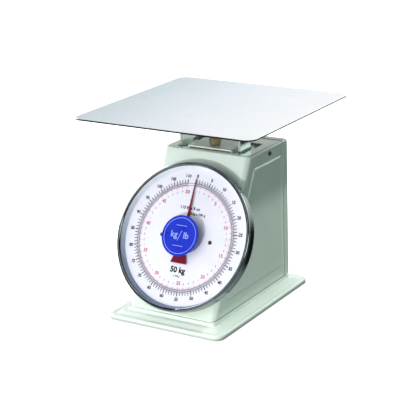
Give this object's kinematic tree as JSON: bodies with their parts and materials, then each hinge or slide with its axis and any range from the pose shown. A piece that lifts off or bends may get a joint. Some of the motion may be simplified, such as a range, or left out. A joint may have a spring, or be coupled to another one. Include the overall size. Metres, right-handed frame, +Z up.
{
  "type": "mechanical dial platform scale",
  "caption": "Spring dial scale with a square platform on two legs, a sloping front with a large round dial, a raised zero knob and a wide flanged base.",
  "frame": {"origin": "on the table, under the middle of the whole object's outline and of its width", "axes": "+Z up, -Y towards the dial side, +X to the right of someone reading the dial"},
  "size_m": [0.3, 0.31, 0.298],
  "materials": {
    "painted_body": "semi-gloss pale green-white stove enamel",
    "painted_frame": "satin pale green enamel",
    "plated_frame": "dull zinc plate",
    "platform_steel": "fine brushed stainless steel",
    "bezel": "bright chrome plate",
    "dial_print": "matt white print ground",
    "dial_surround": "blue-grey moulded plastic",
    "gasket": "dark soft rubber",
    "lens": "clear domed plastic",
    "badge": "gloss blue with plain white marks",
    "pointer_paint": "dark red satin paint",
    "brass": "turned brass, lightly tarnished",
    "spring_steel": "oiled spring steel",
    "screw_steel": "zinc plated",
    "dark_screw": "blackened steel",
    "nylon": "natural nylon",
    "rubber": "matt black rubber"
  },
  "bodies": {
    "root": {"base_pan": "painted_body", "rubber_foot_front_left": "rubber", "rubber_foot_front_right": "rubber", "rubber_foot_back_left": "rubber", "rubber_foot_back_right": "rubber", "foot_screws": "screw_steel", "housing_base_screws": "screw_steel", "frame_base_screws": "screw_steel", "housing": "painted_body", "back_cover": "painted_body", "back_cover_screws": "screw_steel", "housing_side_screws": "dark_screw", "main_frame": "plated_frame", "guide_plate": "painted_frame", "guide_plate_screws": "dark_screw", "movement_front_plate": "plated_frame", "movement_rear_plate": "plated_frame", "movement_pillars": "plated_frame", "movement_plate_screws": "screw_steel", "front_bush": "brass", "rear_bush": "brass", "roller_stud": "spring_steel", "dial_posts": "plated_frame", "dial_pan": "painted_body", "dial_pan_screws": "screw_steel", "dial_plate": "dial_print", "dial_plate_screws": "dark_screw", "dial_surround": "dial_surround", "lens_gasket": "gasket", "lens": "lens", "lens_badge": "badge", "bezel": "bezel", "spring_left": "spring_steel", "spring_right": "spring_steel"},
    "load_frame": {"platform": "platform_steel", "platform_carrier": "plated_frame", "carrier_screws": "screw_steel", "leg_left": "plated_frame", "leg_right": "plated_frame", "yoke_bar": "plated_frame", "yoke_screws": "screw_steel", "rack_arm": "plated_frame", "arm_screws": "screw_steel", "rack_pin": "spring_steel", "link_pins": "spring_steel", "lower_spring_plugs": "plated_frame"},
    "rack_body": {"rack": "brass"},
    "pointer_body": {"pointer_shaft": "spring_steel", "pinion": "brass", "pointer": "pointer_paint", "pointer_hub": "brass"},
    "guide_roller_body": {"guide_roller": "nylon"},
    "upper_link": {"upper_link_arms": "plated_frame", "upper_link_shaft": "spring_steel"},
    "lower_link": {"lower_link_arms": "plated_frame", "lower_link_shaft": "spring_steel"},
    "zero_knob_body": {"zero_knob": "brass", "zero_screw": "brass"},
    "hanger_body": {"spring_hanger": "plated_frame", "upper_spring_plugs": "plated_frame"}
  },
  "joints": [
    {"name": "platform_slide", "type": "slide", "parent": "root", "child": "load_frame", "axis": [0, 0, -1], "range_m": [0, 0.0163], "stiffness_N_per_m": 30093, "springref_m": -0.00074, "deforming": ["spring_left", "spring_right"]},
    {"name": "rack_slide", "type": "slide", "parent": "root", "child": "rack_body", "axis": [0, -0.4571, -0.8894], "range_m": [0, 0.01835]},
    {"name": "pointer_turn", "type": "hinge", "parent": "root", "child": "pointer_body", "pos_m": [0, -0.07993, 0.11778], "axis": [0, 0.8894, -0.4571], "range_deg": [0, 350.5]},
    {"name": "guide_roller_turn", "type": "hinge", "parent": "root", "child": "guide_roller_body", "pos_m": [0.0116, -0.07993, 0.11778], "axis": [0, 0.8894, -0.4571], "range_deg": [-263, 1]},
    {"name": "upper_link_turn", "type": "hinge", "parent": "root", "child": "upper_link", "pos_m": [0, 0.043, 0.2], "axis": [1, 0, 0], "range_deg": [0, 20.46]},
    {"name": "lower_link_turn", "type": "hinge", "parent": "root", "child": "lower_link", "pos_m": [0, 0.043, 0.05], "axis": [1, 0, 0], "range_deg": [0, 20.46]},
    {"name": "zero_knob_turn", "type": "hinge", "parent": "root", "child": "zero_knob_body", "pos_m": [0, 0.007, 0.2377], "axis": [0, 0, 1], "range_deg": [-865, 865]},
    {"name": "hanger_slide", "type": "slide", "parent": "root", "child": "hanger_body", "axis": [0, 0, 1], "range_m": [-0.003, 0.003]}
  ],
  "couplings": [
    {"joint": "rack_slide", "follows": "platform_slide", "ratio": 1.1243},
    {"joint": "pointer_turn", "follows": "platform_slide", "rad_per_m": 374.78},
    {"joint": "guide_roller_turn", "follows": "platform_slide", "rad_per_m": -281.08},
    {"joint": "upper_link_turn", "follows": "platform_slide", "rad_per_m": 21.854},
    {"joint": "lower_link_turn", "follows": "platform_slide", "rad_per_m": 21.854},
    {"joint": "zero_knob_turn", "follows": "hanger_slide", "rad_per_m": -5026.5}
  ]
}
